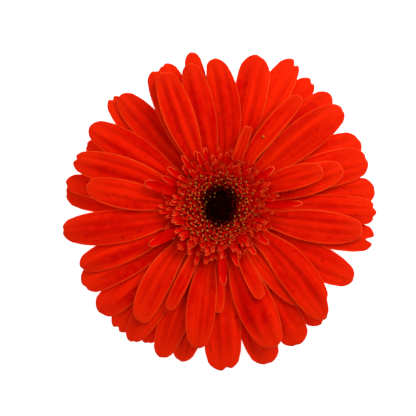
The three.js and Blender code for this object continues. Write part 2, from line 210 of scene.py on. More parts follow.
class Shells:
    """Closed bodies gathered into one mesh, with a UV map and named values at every corner.

    Every mesh also holds reach, the distance from the bloom's axis, and hollow, the distance from
    the middle of the dark hollow.
    """

    def __init__(self, *names):
        self.points, self.faces, self.uv = [], [], []
        self.values = {name: [] for name in names}
        self.count = 0

    def add(self, points, faces, uv, **values):
        """Take in a body, with one value or an array of them for each name."""
        self.points.append(points)
        self.faces += [tuple(face) for face in np.asarray(faces) + self.count]
        self.uv.append(uv)
        for name, held in self.values.items():
            held.append(np.broadcast_to(values[name], len(points)))
        self.count += len(points)

    def sheet(self, top, below, uv, **values):
        """A thin closed sheet between two grids of points, with the same values on both sides."""
        rows, columns = top.shape[:2]
        size = rows * columns
        upper = grid_faces(rows, columns)
        index = np.arange(size).reshape(rows, columns)
        rim = np.concatenate([index[0, :-1], index[:-1, -1], index[-1, :0:-1], index[:0:-1, 0]])
        after = np.roll(rim, -1)
        edge = np.stack([rim, after, after + size, rim + size], axis=1)
        faces = np.concatenate([upper, upper[:, ::-1] + size, edge])
        points = np.concatenate([top.reshape(-1, 3), below.reshape(-1, 3)])
        values = {name: np.tile(np.ravel(grid), 2) for name, grid in values.items()}
        if "under" in self.values:
            values["under"] = np.repeat([0.0, 1.0], size)
        self.add(points, faces, np.tile(uv.reshape(-1, 2), (2, 1)), **values)

    def tube(self, path, widths, sides=6, **values):
        """A closed round body along a path, with a flat cap on each end."""
        path = np.asarray(path, float)
        along = np.gradient(path, axis=0)
        along /= np.linalg.norm(along, axis=1, keepdims=True)
        across = np.cross(along, TUBE_SIDE)
        across /= np.linalg.norm(across, axis=1, keepdims=True)
        other = np.cross(along, across)
        turn = (np.arange(sides) * 2 * np.pi / sides)[None, :, None]
        ring = across[:, None] * np.cos(turn) + other[:, None] * np.sin(turn)
        points = (path[:, None] + ring * np.asarray(widths)[:, None, None]).reshape(-1, 3)
        first = self.count
        last = first + len(points) - sides
        self.add(points, ring_faces(len(path), sides), ring_uv(len(path), sides), **values)
        self.faces.append(tuple(first + j for j in reversed(range(sides))))
        self.faces.append(tuple(last + j for j in range(sides)))

    def turned(self, profile, **values):
        """A closed round body about the bloom's axis. Its profile starts and ends on the axis."""
        profile = np.asarray(profile, float)
        rings = profile[1:-1]
        turn = np.arange(TURNED_SIDES)[None] * 2 * np.pi / TURNED_SIDES
        points = polar(rings[:, :1], turn, rings[:, 1:] + 0 * turn).reshape(-1, 3)
        ends = np.array([[0, 0, profile[0, 1]], [0, 0, profile[-1, 1]]])
        uv = np.concatenate([ring_uv(len(rings), TURNED_SIDES), [[0.5, 0.0], [0.5, 1.0]]])
        first = self.count
        start = first + len(points)
        last = start - TURNED_SIDES
        self.add(np.concatenate([points, ends]), ring_faces(len(rings), TURNED_SIDES), uv, **values)
        for j in range(TURNED_SIDES):
            k = (j + 1) % TURNED_SIDES
            self.faces.append((start, first + k, first + j))
            self.faces.append((start + 1, last + j, last + k))

    def build(self, name, material, slot, *replaced):
        """Make the mesh a piece of the root body that stands for the CAD nodes in replaced."""
        points = np.concatenate(self.points)
        mesh = bpy.data.meshes.new(name)
        mesh.from_pydata(((points + AXIS) * MM).tolist(), [], self.faces)
        corners = np.empty(len(mesh.loops), int)
        mesh.loops.foreach_get("vertex_index", corners)
        layer = mesh.uv_layers.new(name="Grain")
        layer.uv.foreach_set("vector", np.concatenate(self.uv)[corners].astype(np.float32).ravel())
        values = {key: np.concatenate(held) for key, held in self.values.items()}
        values["reach"] = reach_of(points)
        values["hollow"] = reach_of((points[:, :2] - DARK_CENTRE) / DARK_STRETCH)
        for key, held in values.items():
            attribute = mesh.attributes.new(key, "FLOAT", "POINT")
            attribute.data.foreach_set("value", held.astype(np.float32))
        mesh.shade_smooth()
        mesh.materials.append(material)
        piece = bpy.data.objects.new(name, mesh)
        bpy.context.scene.collection.objects.link(piece)
        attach(piece, "root")
        if replaced:
            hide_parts(*replaced)


# ---- Materials ------------------------------------------------------------------------------


def colour(red, green, blue):
    """An sRGB colour of 0 to 255 as the linear RGBA that shaders take."""
    share = np.array([red, green, blue]) / 255
    linear = np.where(share <= 0.04045, share / 12.92, ((share + 0.055) / 1.055) ** 2.4)
    return (*linear.tolist(), 1.0)


WHITE = (1.0, 1.0, 1.0, 1.0)
RED_SHEEN = (1.0, 0.07, 0.015, 1.0)  # of the highlights on red tissue
GLOW_DEPTH = 0.6  # how far light spreads inside the tissue
GLOW_SPREAD = (1.0, 0.25, 0.1)  # of that, for red, green and blue
TONE_STEP = 40.0  # how far apart in the noise two pieces lie whose tones differ by 1


class Paint:
    """A node material on a Principled shader, with short calls for the nodes used here."""

    def __init__(self, name, roughness, specular, subsurface=0.0, tint=WHITE):
        self.material = bpy.data.materials.new(name)
        self.material.use_nodes = True
        self.tree = self.material.node_tree
        self.shader = self.tree.nodes["Principled BSDF"]
        self.shader.inputs["Roughness"].default_value = roughness
        self.shader.inputs["Specular IOR Level"].default_value = specular
        self.shader.inputs["Specular Tint"].default_value = tint
        self.shader.inputs["Subsurface Weight"].default_value = subsurface
        self.shader.inputs["Subsurface Radius"].default_value = GLOW_SPREAD
        self.shader.inputs["Subsurface Scale"].default_value = GLOW_DEPTH * MM

    def node(self, kind, **settings):
        node = self.tree.nodes.new("ShaderNode" + kind)
        for name, value in settings.items():
            setattr(node, name, value)
        return node

    def feed(self, socket, source):
        if isinstance(source, bpy.types.NodeSocket):
            self.tree.links.new(source, socket)
        else:
            socket.default_value = source

    def through(self, node, *sources):
        """Feed a node's inputs in their order and give its first output."""
        for socket, source in zip(node.inputs, sources):
            self.feed(socket, source)
        return node.outputs[0]

    def named(self, name):
        return self.node("Attribute", attribute_name=name).outputs["Fac"]

    def grain(self):
        return self.node("UVMap", uv_map="Grain").outputs["UV"]

    def across_and_along(self):
        split = self.node("SeparateXYZ")
        self.feed(split.inputs[0], self.grain())
        return split.outputs["X"], split.outputs["Y"]

    def own_grain(self):
        """The UV map with the piece's tone as depth, so that no two pieces have the same pattern."""
        across, along = self.across_and_along()
        depth = self.math("MULTIPLY", self.named("tone"), TONE_STEP)
        return self.through(self.node("CombineXYZ"), across, along, depth)

    def place(self):
        return self.node("TexCoord").outputs["Object"]

    def math(self, operation, first, second=0.0, third=0.0):
        return self.through(self.node("Math", operation=operation), first, second, third)

    def noise(self, source, scale, detail=2.0, stretch=(1, 1, 1)):
        mapping = self.node("Mapping")
        self.feed(mapping.inputs["Vector"], source)
        mapping.inputs["Scale"].default_value = stretch
        noise = self.node("TexNoise")
        self.feed(noise.inputs["Vector"], mapping.outputs[0])
        noise.inputs["Scale"].default_value = scale
        noise.inputs["Detail"].default_value = detail
        return noise.outputs["Fac"]

    def band(self, source, start, end, low_value=0.0, high_value=1.0):
        """low_value up to start, high_value from end on, and a smooth step between them."""
        node = self.node("MapRange", interpolation_type="SMOOTHSTEP")
        values = (start, end, low_value, high_value)
        self.feed(node.inputs["Value"], source)
        for name, value in zip(("From Min", "From Max", "To Min", "To Max"), values):
            node.inputs[name].default_value = value
        return node.outputs["Result"]

    def mix(self, factor, first, second):
        return self.through(self.node("MixRGB"), factor, first, second)

    def coat(self, base, over, source, start, end, most=1.0):
        """base with the colour over laid on it: none of it up to start, and most from end on."""
        return self.mix(self.band(source, start, end, 0.0, most), base, over)

    def bump(self, height, distance):
        node = self.node("Bump")
        self.feed(node.inputs["Height"], height)
        node.inputs["Distance"].default_value = distance * MM
        self.feed(self.shader.inputs["Normal"], node.outputs["Normal"])

    def finish(self, base):
        self.feed(self.shader.inputs["Base Color"], base)
        return self.material


def petal_skin():
    """Orange-red, lighter at the tip, painted shade in the grooves and at the root, painted rim
    highlight.
    """
    paint = Paint("petal_skin", roughness=0.6, specular=0.25, subsurface=0.15, tint=RED_SHEEN)
    # deep red of the veins, also used as the painted shade in the grooves
    vein_and_groove_shade = colour(168, 0, 0)
    along = paint.across_and_along()[1]
    grain = paint.own_grain()
    patches = paint.noise(grain, 1.0, detail=2.0, stretch=(2.0, 1.2, 1))
    streaks = paint.noise(grain, 1.0, detail=3.0, stretch=(9, 1.1, 1))
    veins = paint.noise(grain, 1.0, detail=1.0, stretch=(34, 1.6, 1))
    mottle = paint.noise(paint.place(), 420.0, detail=4.0)
    bruises = paint.noise(paint.place(), 520.0, detail=0.0)
    base = paint.coat(colour(212, 2, 0), colour(244, 30, 1), patches, 0.36, 0.64)
    # random tone, with painted light on the hindmost petals
    base = paint.coat(base, colour(246, 38, 1), paint.named("tone"), 0.0, 1.5, most=0.65)
    base = paint.coat(base, colour(188, 0, 0), streaks, 0.62, 0.36, most=0.34)
    base = paint.coat(base, colour(250, 36, 4), mottle, 0.45, 0.7, most=0.3)
    base = paint.coat(base, vein_and_groove_shade, veins, 0.5, 0.8, most=0.17)
    base = paint.coat(base, colour(160, 0, 0), bruises, 0.74, 0.8, most=0.4)
    # painted shade in the grooves, where the relief dips
    base = paint.coat(base, vein_and_groove_shade, paint.named("groove"), 0.1, 1.0, most=0.4)
    # painted shade at the petals' roots near the middle, under the ring of trans florets
    base = paint.coat(base, colour(176, 0, 0), paint.named("reach"), 24.0, 13.0, most=0.15)
    base = paint.coat(base, colour(228, 40, 6), along, 0.72, 1.0, most=0.55)
    # painted highlight along the petal's edges, broken up along the streaks
    patchy_highlight = paint.band(streaks, 0.3, 0.7, 0.3, 0.8)
    rim = paint.math("MULTIPLY", paint.band(paint.named("edge"), 0.6, 0.22), patchy_highlight)
    base = paint.mix(rim, base, colour(242, 70, 22))
    base = paint.coat(base, colour(222, 74, 36), paint.named("under"), 0.4, 0.9, most=0.6)
    paint.feed(paint.shader.inputs["Roughness"], paint.band(streaks, 0.3, 0.7, 0.68, 0.52))
    paint.bump(paint.math("MULTIPLY_ADD", veins, 0.5, streaks), 0.1)
    return paint.finish(base)


def floret_skin():
    """Deep red, painted shade towards the root, a painted orange rim highlight at the tip, dark near
    the heart.
    """
    paint = Paint("floret_skin", roughness=0.55, specular=0.25, subsurface=0.3, tint=RED_SHEEN)
    back = paint.named("back")
    streaks = paint.noise(paint.own_grain(), 1.0, detail=2.0, stretch=(7, 2, 1))
    base = paint.coat(colour(206, 0, 0), colour(230, 4, 0), streaks, 0.35, 0.7)
    base = paint.coat(base, colour(238, 9, 0), paint.named("tone"), 0.0, 1.0, most=0.3)
    # painted shade towards the root, where the florets lie over one another
    base = paint.coat(base, colour(186, 0, 0), back, 0.6, 3.0, most=0.6)
    # painted highlight of lighter orange along the rim near the tip
    near_tip = paint.band(back, 2.2, 1.0, 0.0, 0.85)
    rim = paint.math("MULTIPLY", paint.band(paint.named("edge"), 0.46, 0.24), near_tip)
    base = paint.mix(rim, base, colour(244, 84, 36))
    ragged = paint.noise(paint.place(), 450.0)
    dusk = paint.math("MULTIPLY_ADD", ragged, 5.0, paint.named("hollow"))
    base = paint.coat(base, colour(22, 0, 0), dusk, 11.3, 7.7, most=0.93)
    paint.bump(streaks, 0.06)
    return paint.finish(base)


def floret_bed_skin():
    """The dark red tissue between the florets' feet."""
    paint = Paint("floret_bed_skin", roughness=0.8, specular=0.1, tint=RED_SHEEN)
    grit = paint.noise(paint.place(), 1500.0, detail=3.0)
    base = paint.coat(colour(118, 0, 0), colour(160, 2, 0), grit, 0.35, 0.7)
    base = paint.coat(base, colour(14, 0, 0), paint.named("hollow"), 7.6, 5.4, most=0.95)
    paint.bump(grit, 0.15)
    return paint.finish(base)


def anther_skin():
    """Dark red tubes that end in olive-yellow pollen."""
    paint = Paint("anther_skin", roughness=0.8, specular=0.1)
    along = paint.across_and_along()[1]
    grit = paint.noise(paint.place(), 2600.0, detail=2.0)
    pollen = paint.coat(colour(160, 80, 14), colour(224, 150, 54), grit, 0.35, 0.7)
    base = paint.coat(colour(150, 6, 0), pollen, along, 0.66, 0.78)
    base = paint.coat(base, colour(40, 12, 4), paint.named("hollow"), 7.0, 4.6, most=0.5)
    paint.bump(grit, 0.05)
    return paint.finish(base)


def heart_skin():
    """Unopened florets, almost black, with a red cast towards the rim of the heart."""
    paint = Paint("heart_skin", roughness=0.7, specular=0.1, tint=RED_SHEEN)
    speckle = paint.noise(paint.place(), 900.0, detail=3.0)
    inner = paint.coat(colour(8, 0, 0), colour(34, 2, 0), speckle, 0.4, 0.75)
    outer = paint.coat(colour(30, 0, 0), colour(92, 2, 0), speckle, 0.4, 0.75)
    base = paint.coat(inner, outer, paint.named("hollow"), 3.6, 6.4)
    paint.bump(speckle, 0.06)
    return paint.finish(base)


def bract_skin():
    """Grey-green, with a pale rim and a purplish tip."""
    paint = Paint("bract_skin", roughness=0.68, specular=0.3, subsurface=0.05)
    across, along = paint.across_and_along()
    streaks = paint.noise(paint.grain(), 1.0, detail=3.0, stretch=(16, 1.8, 1))
    down = paint.noise(paint.place(), 700.0, detail=2.0)
    off_middle = paint.math("ABSOLUTE", paint.math("MULTIPLY_ADD", across, 2.0, -1.0))
    base = paint.coat(colour(74, 104, 48), colour(122, 148, 76), streaks, 0.3, 0.7)
    base = paint.coat(base, colour(138, 156, 92), paint.named("tone"), 0.0, 1.0, most=0.4)
    base = paint.coat(base, colour(168, 178, 132), down, 0.5, 0.7, most=0.35)
    base = paint.coat(base, colour(170, 180, 120), off_middle, 0.8, 1.0, most=0.6)
    base = paint.coat(base, colour(112, 40, 44), along, 0.78, 0.98, most=0.85)
    paint.bump(paint.math("ADD", streaks, down), 0.12)
    return paint.finish(base)


def stem_skin():
    """Fresh green outside, a pale, wet, speckled cut face, and red where the florets grow."""
    paint = Paint("stem_skin", roughness=0.6, specular=0.35, subsurface=0.08)
    streaks = paint.noise(paint.grain(), 1.0, detail=3.0, stretch=(40, 3, 1))
    fibres = paint.noise(paint.place(), 1400.0, detail=2.0)
    rind = paint.coat(colour(96, 122, 52), colour(146, 166, 84), streaks, 0.3, 0.7)
    pith = paint.coat(colour(196, 204, 144), colour(224, 226, 182), fibres, 0.4, 0.7)
    base = paint.mix(paint.named("cut"), rind, pith)
    base = paint.mix(paint.named("crown"), base, colour(150, 4, 0))
    paint.bump(paint.math("ADD", streaks, fibres), 0.1)
    return paint.finish(base)


def down_skin():
    """Hairs that pale towards their ends."""
    paint = Paint("down_skin", roughness=0.5, specular=0.3)
    along = paint.across_and_along()[1]
    return paint.finish(paint.mix(along, colour(176, 186, 140), colour(232, 232, 214)))


PETAL_SKIN = petal_skin()
FLORET_SKIN = floret_skin()
FLORET_BED_SKIN = floret_bed_skin()
ANTHER_SKIN = anther_skin()
HEART_SKIN = heart_skin()
BRACT_SKIN = bract_skin()
STEM_SKIN = stem_skin()
DOWN_SKIN = down_skin()


# ---- Petals ---------------------------------------------------------------------------------

PETAL_ROWS = 46
PETAL_COLUMNS = 31
PETAL_SPACING = 0.9  # below 1, the rows lie closer together towards the tip
PETAL_THICKNESS = 0.38
PETAL_EDGE = 0.14  # thickness at the edges
PETAL_CROWN = 0.13  # fall of an edge, as a share of the half width
ROOT_OVERLAP = 0.6  # how far a petal runs into the receptacle
CLAW_SPREAD = 0.35  # how much wider a petal's hidden claw grows than the CAD one
CLAW_END = 21.0
CLAW_FADE = 6.0  # length over which the claw widens
CAP_START = 0.93  # of a petal's length, where its sides run into its rounded tip
CAP_ROUNDING = 0.8  # 0.5 makes the tip an ellipse, and 1 a parabola
NOTCH_WIDTH = 0.2  # of the half width
GROOVE_WIDTH = 0.2  # of the half width
GROOVE_DEPTH = 0.09  # of the half width
RIM_HEIGHT = 0.26
RIM_WIDTH = 0.09  # of the half width
RIPPLES = 1.4  # waves along an edge
ROLL_WIDTH = 5.0  # the half width on which a roll has its full height
BACK_PAINTED_LIGHT = 0.5  # how much lighter the hindmost petals are painted: painted light that lifts the shade they lie in

# What sets single petals apart. cap: where the tip's rounding starts, as a share of the length.
# notches and grooves: (place across from -1 to 1, depth). curl: rise of the tip. roll: rise of the
# left edge. Whatever is not given is drawn at random.
PETAL_LOOKS = {
    "back_petal_05": {"notches": [(0.1, 0.7)]},
    "back_petal_06": {"notches": [(0.0, 1.3)]},
    "back_petal_07": {"notches": [(-0.3, 0.9)]},
    "back_petal_10": {"notches": [(-0.05, 2.8)], "cap": 0.95},
    "back_petal_14": {"notches": [(-0.1, 1.1)]},
    "back_petal_16": {"notches": [(-0.35, 1.5)]},
    "lower_petal_01": {"notches": [(-0.4, 0.7), (0.35, 0.9)]},
    "lower_petal_04": {"notches": [(0.2, 1.1)]},
    "lower_petal_11": {"cap": 0.89},
    "upper_petal_05": {"notches": [(-0.1, 1.0)]},
    "upper_petal_09": {"grooves": [(0.62, 1.0), (-0.2, 0.5)], "roll": 0.5},
    "upper_petal_11": {
        "grooves": [(0.08, 1.2), (-0.45, 0.5)],
        "notches": [(0.72, 1.6)],
        "cap": 0.87,
    },
    "front_petal_01": {"grooves": [(-0.3, 0.8), (0.35, 0.8)]},
    "front_petal_02": {"grooves": [(-0.62, 0.9), (0.15, 0.6)]},
    "front_petal_03": {"grooves": [(0.0, 0.6), (0.5, 0.7)]},
    "front_petal_05": {"grooves": [(0.3, 0.7), (-0.35, 0.6)]},
    "front_petal_06": {"grooves": [(-0.38, 1.0), (0.34, 1.0)]},
    "front_petal_07": {"grooves": [(0.0, 0.5)]},
}


def petal_look(name):
    """The traits of one petal: random ones, with its own laid over them."""
    right_groove = (RANDOM.uniform(-0.5, -0.25), RANDOM.uniform(0.5, 1.0))
    left_groove = (RANDOM.uniform(0.2, 0.5), RANDOM.uniform(0.4, 1.0))
    look = {
        "cap": CAP_START,
        "notches": [(RANDOM.uniform(-0.35, 0.35), RANDOM.uniform(0.0, 0.5))],
        "grooves": [right_groove, left_groove],
        "curl": RANDOM.uniform(-0.5, 0.7),
        "roll": RANDOM.uniform(-0.4, 0.4),
        "wave": RANDOM.uniform(0.05, 0.2),
        "phase": RANDOM.uniform(0, 2 * np.pi),
        # the hindmost petals get painted light on top of their random tone
        "tone": RANDOM.uniform(0, 1) + BACK_PAINTED_LIGHT * name.startswith("back"),
    }
    look.update(PETAL_LOOKS.get(name, {}))
    return look


def dips(across, spots, width):
    """Depth across a petal that has a round dip at each (place, depth) of spots."""
    return sum(depth * np.exp(-(((across - place) / width) ** 2)) for place, depth in spots)


def petal_plan(lines, look, across, along):
    """Radius and half width over a petal's grid, and the radius of its tip's outline."""
    root, tip = lines["root"], lines["tip"]
    start = root - ROOT_OVERLAP
    cap = root + look["cap"] * (tip - root)
    end = cap + (tip - cap) * (1 - across**2) ** CAP_ROUNDING
    end = end - dips(across, look["notches"], NOTCH_WIDTH)
    radius = start + (end - start) * along
    half = lines["half"](start + (cap - start) * along)
    claw = smoothstep(CLAW_END, CLAW_END - CLAW_FADE, radius)
    return radius, half * (1 + CLAW_SPREAD * claw), end


def petal_relief(lines, look, across, along, radius, half):
    """Height over a petal's grid, and how deep in a groove each point lies."""
    middle = smoothstep(0.02, 0.25, along) * (1 - 0.7 * smoothstep(0.8, 1, along))
    groove = np.clip(dips(across, look["grooves"], GROOVE_WIDTH), 0, 1.2) * middle
    rim = np.exp(-(((1 - np.abs(across)) / RIM_WIDTH) ** 2)) * middle
    ripple = np.sin(2 * np.pi * RIPPLES * along + look["phase"]) * across * np.abs(across)
    height = lines["height"](radius) - PETAL_CROWN * half * across**2
    height = height - GROOVE_DEPTH * half * groove
    height = height + RIM_HEIGHT * rim
    height = height + look["wave"] * ripple * smoothstep(0.3, 1, along)
    height = height + look["curl"] * smoothstep(0.55, 1.15, along) ** 2
    height = height + look["roll"] * across * half / ROLL_WIDTH * smoothstep(0.1, 0.6, along)
    return height, groove


def add_petal(name):
    """A grooved, rimmed and notched sheet in the place of a CAD petal."""
    lines = petal_lines(name)
    look = petal_look(name)
    across = np.linspace(-1, 1, PETAL_COLUMNS)[None]
    along = np.linspace(0, 1, PETAL_ROWS)[:, None] ** PETAL_SPACING
    radius, half, end = petal_plan(lines, look, across, along)
    turn = lines["turn"](radius) + across * half / radius
    height, groove = petal_relief(lines, look, across, along, radius, half)
    body = (1 - across**4) * (1 - 0.5 * along**6)
    thickness = PETAL_EDGE + (PETAL_THICKNESS - PETAL_EDGE) * body
    top = polar(radius, turn, height)
    below = polar(radius, turn, height - thickness)
    tone = np.full_like(radius, look["tone"])
    # edge is the distance from the outline, by which the petal skin paints its rim highlight
    edge = np.minimum((1 - np.abs(across)) * half, end - radius)
    shell = Shells("tone", "groove", "edge", "under")
    shell.sheet(top, below, grid_uv(across, along), tone=tone, groove=groove, edge=edge)
    shell.build(name.replace("petal", "ray"), PETAL_SKIN, "petals", name)


for node in sorted(NODES):
    if "petal" in node:
        add_petal(node)


# ---- Trans florets --------------------------------------------------------------------------

LIGULE_ROWS = 15
LIGULE_COLUMNS = 11
LIGULE_SPACING = 0.8  # below 1, the rows lie closer together towards the tip
LIGULE_THICKNESS = 0.16
LIGULE_FOOT = 0.45  # width at the root, as a share of the full width
LIGULE_NECK = 0.25  # how much narrower it gets again towards the tip
HOOK_PULL = 0.55  # how far a hooked tip comes back, as a share of its rise
RING_ROOT_DROP = 0.3  # of the florets' feet below the CAD rings' tops
LONG_SCALE = 1.8  # of a long floret's tip that the painted root shade leaves bright, next to a short one's
LONG_ROOM = 4.0  # degrees on each side of a long floret in which no outer short one grows
FLORET_LEAN = 14.0  # degrees, to either side

# Florets of the outer ring that have grown almost into petals: azimuth, tip radius and width.
LONG_FLORETS = [
    (4, 27.4, 2.5),
    (36, 22.6, 2.7),
    (110, 19.6, 2.2),
    (125, 21.0, 2.0),
    (141, 21.4, 2.3),
    (150, 21.2, 2.5),
    (160, 25.5, 3.5),
    (208.5, 25.7, 3.4),
    (274, 25.3, 3.0),
    (288, 20.3, 2.2),
    (309.5, 19.6, 2.2),
    (325, 20.2, 2.6),
]

# Rows of short trans florets: how many, nearest and farthest tip radius, width, and their lift
# above the CAD ring.
OUTER_ROWS = [
    (40, 17.8, 20.6, 1.7, 0.0),
    (44, 16.8, 19.2, 1.6, 0.25),
    (46, 15.8, 18.0, 1.5, 0.5),
]
INNER_ROWS = [
    (48, 14.9, 16.9, 1.5, 0.0),
    (48, 13.9, 15.9, 1.4, 0.3),
    (46, 12.9, 14.8, 1.3, 0.6),
    (42, 11.9, 13.8, 1.2, 0.85),
    (36, 11.0, 12.8, 1.1, 1.05),
]


def ligule(shells, root, azimuth, length, width, rise, hook, channel, lean, scale=1.0):
    """A small boat-shaped floret that runs outwards from a root radius.

    rise holds its height at the root and at the tip. hook is how far the tip curls up, channel how
    far the sides do, and lean its slant to the left in degrees. scale sets how long the tip is that
    the painted root shade leaves bright and, below 1, how narrow the painted rim highlight is.
    """
    across = np.linspace(-1, 1, LIGULE_COLUMNS)[None]
    along = np.linspace(0, 1, LIGULE_ROWS)[:, None] ** LIGULE_SPACING
    point = RANDOM.uniform(0.4, 0.8) * width / length
    reach = 1 - point * np.abs(across) ** RANDOM.uniform(1.9, 3.0)
    share = along * reach
    half = width / 2 * (LIGULE_FOOT + (1 - LIGULE_FOOT) * smoothstep(0, 0.6, along))
    half = half * (1 - LIGULE_NECK * smoothstep(0.7, 1, along))
    tip = smoothstep(length - 1.6 * width, length + 0.3, length * share)
    out = root + length * share - HOOK_PULL * hook * tip**3
    side = across * half + math.tan(math.radians(lean)) * length * share
    height = rise[0] + (rise[1] - rise[0]) * np.sin(share * np.pi / 2) ** 0.9
    height = height + channel * half * across**2 * smoothstep(0.05, 0.4, along)
    height = height + hook * tip**2
    outward, left, up = frame_at(azimuth)
    top = out[..., None] * outward + side[..., None] * left + height[..., None] * up
    below = top - LIGULE_THICKNESS * up
    tone = np.full_like(share, RANDOM.uniform(0, 1))
    # edge places the floret skin's painted rim highlight, and back its painted root shade
    edge = np.minimum((1 - np.abs(across)) * half, (reach - share) * length) / min(scale, 1)
    back = length * (1 - share) / scale
    shells.sheet(top, below, grid_uv(across, along), tone=tone, edge=edge, back=back)


def add_long_florets(shells):
    """The outer ring's half-grown petals, flatter and straighter than the short florets."""
    root, height = ring_top("outer_trans_florets")
    for azimuth, tip, width in LONG_FLORETS:
        rise = (height(root) - RING_ROOT_DROP, height(tip) - RANDOM.uniform(-0.1, 0.4))
        hook = RANDOM.uniform(0.2, 0.7)
        channel = RANDOM.uniform(0.2, 0.4)
        lean = RANDOM.uniform(-2, 2)
        ligule(shells, root, azimuth, tip - root, width, rise, hook, channel, lean, LONG_SCALE)


def add_short_florets(shells, node, rows, taken):
    """Rows of trans florets round a CAD ring, leaving room at the azimuths in taken."""
    root, height = ring_top(node)
    for count, near, far, full_width, lift in rows:
        for i in range(count):
            azimuth = (i + RANDOM.uniform(-0.4, 0.4)) * 360 / count
            tip = RANDOM.uniform(near, far)
            width = full_width * RANDOM.uniform(0.7, 1.15)
            start = height(root) - RING_ROOT_DROP + lift
            rise = (start, height(tip) + lift - RANDOM.uniform(0.1, 1.1))
            hook = RANDOM.uniform(0.3, 1.8)
            channel = RANDOM.uniform(0.3, 0.8)
            lean = RANDOM.uniform(-FLORET_LEAN, FLORET_LEAN)
            apart = [abs((azimuth - other + 180) % 360 - 180) for other in taken]
            if min(apart, default=360) > LONG_ROOM:
                ligule(shells, root, azimuth, tip - root, width, rise, hook, channel, lean)


def add_trans_florets():
    outer = Shells("tone", "edge", "back")
    add_long_florets(outer)
    taken = [azimuth for azimuth, _, _ in LONG_FLORETS]
    add_short_florets(outer, "outer_trans_florets", OUTER_ROWS, taken)
    outer.build("outer_trans_floret_ring", FLORET_SKIN, "trans_florets", "outer_trans_florets")
    inner = Shells("tone", "edge", "back")
    add_short_florets(inner, "inner_trans_florets", INNER_ROWS, [])
    inner.build("inner_trans_floret_ring", FLORET_SKIN, "trans_florets", "inner_trans_florets")


add_trans_florets()


# ---- Open disc florets and the heart --------------------------------------------------------

GOLDEN_ANGLE = 137.508
DISC_FLORETS = 200
DISC_INNER, DISC_OUTER = 4.2, 13.2
ANTHER_LIMIT = 12.0  # beyond this radius the florets' anthers are hidden
ANTHER_HEIGHT = 4.2
ANTHER_WIDTHS = np.array([0.2, 0.21, 0.22, 0.23, 0.24, 0.31, 0.29, 0.12])
LIP_SCALE = 0.45  # of a lip's tip left bright by the painted root shade and of its painted rim highlight, next to a trans floret's
CURL_WIDTHS = np.array([0.2, 0.2, 0.2, 0.19, 0.18, 0.17, 0.15, 0.12, 0.06])
HEART_BUDS = 110
HEART_EDGE = 5.8
LIP_OVERLAP = 1.5  # how far lips without anthers grow into the dark heart
BUD_LENGTH = 2.4
BUD_LEAN = 0.35  # towards the middle
BUD_WIDTHS = np.array([0.4, 0.44, 0.5, 0.53, 0.5, 0.42, 0.27, 0.07])
HEART_BED_DEPTH = 1.1  # of the tissue between the buds, below the CAD heart's top

# The floret bed's outline, outside in: radius and depth below the top of the CAD disc.
BED_DOME = [(9.6, 3.4), (8.0, 2.9), (6.2, 3.0), (5.0, 3.6), (0, 3.6)]
BED_RIM_HEIGHT = 0.9  # above the underside of the CAD disc
BED_OVERLAP = 2.6  # how far the bed runs under the inner trans florets

# A shed anther that lies on a petal: the petal, and its azimuth and radius there.
SHED_ANTHER = ("front_petal_07", 57.7, 27.5)
SHED_WIDTHS = [0.1, 0.3, 0.38, 0.4, 0.38, 0.28, 0.1]
SHED_GAP = 0.12  # between the petal and the anther's axis

# Open florets that stand in the dark heart: azimuth and radius.
STRAY_FLORETS = [(100, 5.1), (106, 4.1), (123, 4.8), (150, 4.6), (165, 4.7), (190, 5.4)]


def spiral(count, inner, outer):
    """Azimuths and radii of count florets packed evenly between two radii."""
    for i in range(count):
        share = (i + 0.5) / count
        radius = math.sqrt(inner**2 + (outer**2 - inner**2) * share)
        yield (i * GOLDEN_ANGLE) % 360, radius


def add_floret_bed():
    low_end, high_end = (corner[2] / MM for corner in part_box("open_disc_florets"))
    rim = ring_top("inner_trans_florets")[0] + BED_OVERLAP
    dome = [(radius, high_end - depth) for radius, depth in BED_DOME]
    bed = Shells()
    bed.turned([(0, low_end), (rim - 0.3, low_end), (rim, low_end + BED_RIM_HEIGHT), *dome])
    bed.build("floret_bed", FLORET_BED_SKIN, "disc_florets", "open_disc_florets")


def add_anther(anthers, azimuth, radius, height):
    """An anther tube that leans outwards, with its pollen at the top."""
    outward, left, up = frame_at(azimuth)
    lean = 0.5 + RANDOM.uniform(0.2, 1.1) * smoothstep(4, 10, radius)
    sway = RANDOM.uniform(-0.35, 0.35)
    foot = (radius - 0.8) * outward + (height - ANTHER_HEIGHT) * up
    steps = np.linspace(0, 1, len(ANTHER_WIDTHS))[:, None]
    bend = (lean * outward + sway * left) * (steps + 0.2 * steps**3)
    size = RANDOM.uniform(0.7, 1.0)
    anthers.tube(foot + ANTHER_HEIGHT * steps * up + bend, size * ANTHER_WIDTHS, sides=7)


def add_shed_anther(anthers):
    name, azimuth, radius = SHED_ANTHER
    outward, left, up = frame_at(azimuth)
    rest = radius * outward + (petal_lines(name)["height"](radius) + SHED_GAP) * up
    steps = np.linspace(-0.5, 0.5, len(SHED_WIDTHS))[:, None]
    path = rest + steps * (0.5 * outward + 0.75 * left) - 0.3 * steps**2 * up
    anthers.tube(path, SHED_WIDTHS, sides=8)
    anthers.uv[-1][:, 1] = 1.0  # pollen all over


def add_outer_lip(lips, azimuth, radius, height):
    """The broad lip, which points away from the heart."""
    length = RANDOM.uniform(1.5, 2.6)
    width = RANDOM.uniform(0.6, 1.0)
    rise = (height - 2.6, height - RANDOM.uniform(0.5, 1.2))
    hook = RANDOM.uniform(0.2, 1.0)
    channel = RANDOM.uniform(0.4, 0.9)
    lean = RANDOM.uniform(-25, 25)
    ligule(lips, radius - 0.1, azimuth, length, width, rise, hook, channel, lean, LIP_SCALE)


